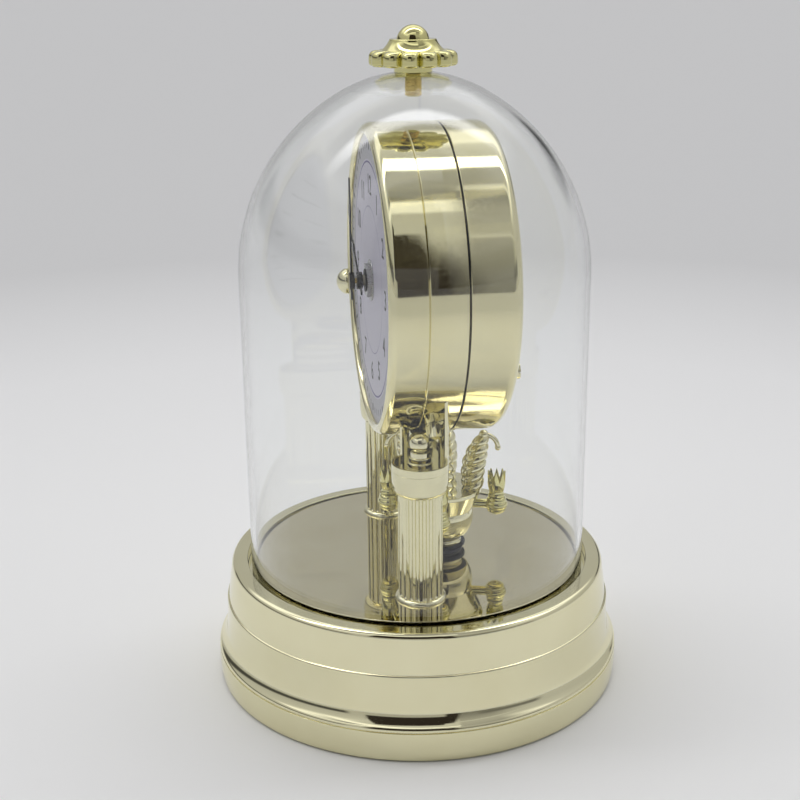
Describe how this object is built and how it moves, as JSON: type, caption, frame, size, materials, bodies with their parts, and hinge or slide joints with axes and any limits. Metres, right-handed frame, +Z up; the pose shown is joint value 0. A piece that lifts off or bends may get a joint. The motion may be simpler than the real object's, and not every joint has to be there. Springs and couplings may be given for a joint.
{
  "type": "dome clock with turning pendulum",
  "caption": "Round gold-plated table clock on fluted columns under a lift-off clear dome, with a turning pendulum over a mirror platform.",
  "frame": {"origin": "middle of the underside, on the plane of the feet", "axes": "+Z up along the dome axis, +X to the right of someone facing the dial, dial facing -Y"},
  "size_m": [0.15, 0.15, 0.234],
  "materials": {
    "gold_plate": "bright champagne-gold plating on moulded plastic",
    "yellow_gold": "bright yellow-gold plating on brass",
    "clear_glass": "clear blown glass",
    "silvered_mirror": "silvered glass, faintly warm",
    "dial_paint": "pale lavender white, satin, printed",
    "black_paint": "satin black",
    "black_plastic": "fine matt moulding",
    "cream_plastic": "plain moulding",
    "ferrite": "sintered black ferrite",
    "steel": "zinc-plated steel",
    "brass": "turned brass",
    "rubber": "matt rubber",
    "copper_wire": "enamelled copper winding",
    "board": "green laminate",
    "cell_wrap": "plain printed sleeve"
  },
  "bodies": {
    "stand": {"base_shell": "gold_plate", "column_right": "gold_plate", "column_left": "gold_plate", "saddle_right": "gold_plate", "saddle_left": "gold_plate", "drum_bezel": "gold_plate", "drum_body": "gold_plate", "rear_cover": "gold_plate", "guide_cup": "gold_plate", "saddle_cap_nuts": "yellow_gold", "saddle_washers": "yellow_gold", "mirror_platform": "silvered_mirror", "dial": "dial_paint", "bottom_cover": "black_plastic", "movement_front_case": "black_plastic", "movement_rear_case": "black_plastic", "motor_unit": "black_plastic", "drive_bobbin": "black_plastic", "bottom_cover_screws": "steel", "rear_cover_screws": "steel", "saddle_screws": "steel", "tie_rods": "steel", "drive_contacts": "steel", "movement_contacts": "steel", "bush_washer": "brass", "bush_nut": "brass", "suspension_hook": "brass", "rubber_feet": "rubber", "drive_winding": "copper_wire", "drive_board": "board", "drive_battery": "cell_wrap", "movement_battery": "cell_wrap"},
    "dome": {"glass_dome": "clear_glass", "dome_finial": "yellow_gold", "finial_nut": "yellow_gold"},
    "minute": {"minute_arbor": "brass", "minute_hand": "black_paint", "hand_cap": "yellow_gold"},
    "hour": {"hour_wheel": "cream_plastic", "hour_hand": "black_paint"},
    "setting": {"minute_wheel": "cream_plastic", "setting_knob": "black_plastic"},
    "pendulum": {"suspension_wire": "steel", "pendulum_hub": "gold_plate", "pendulum_magnet": "ferrite", "pendulum_spindle": "gold_plate", "scroll_horn_1": "gold_plate", "scroll_horn_2": "gold_plate", "scroll_horn_3": "gold_plate", "scroll_horn_4": "gold_plate", "pendulum_ball_1": "yellow_gold", "pendulum_ball_2": "yellow_gold", "pendulum_ball_3": "yellow_gold", "pendulum_ball_4": "yellow_gold", "ball_coronet_1": "gold_plate", "ball_coronet_2": "gold_plate", "ball_coronet_3": "gold_plate", "ball_coronet_4": "gold_plate"},
    "battery_door": {"battery_door": "black_plastic"}
  },
  "joints": [
    {"name": "dome_lift", "type": "slide", "parent": "stand", "child": "dome", "axis": [0, 0, 1], "range_m": [0, 0.18]},
    {"name": "minute_turn", "type": "hinge", "parent": "stand", "child": "minute", "pos_m": [0, 0, 0.148], "axis": [0, 1, 0], "continuous": true},
    {"name": "hour_turn", "type": "hinge", "parent": "stand", "child": "hour", "pos_m": [0, 0, 0.148], "axis": [0, 1, 0], "continuous": true},
    {"name": "setting_turn", "type": "hinge", "parent": "stand", "child": "setting", "pos_m": [0, 0, 0.16], "axis": [0, 1, 0], "continuous": true},
    {"name": "pendulum_turn", "type": "hinge", "parent": "stand", "child": "pendulum", "pos_m": [0, 0.01, 0.07], "axis": [0, 0, 1], "range_deg": [-180, 180], "stiffness_Nm_per_rad": 0.00002},
    {"name": "battery_door_pull", "type": "slide", "parent": "stand", "child": "battery_door", "axis": [0, 0, -1], "range_m": [0, 0.02]}
  ],
  "couplings": [
    {"joint": "hour_turn", "follows": "minute_turn", "ratio": 0.083333},
    {"joint": "setting_turn", "follows": "minute_turn", "ratio": -0.33333}
  ]
}
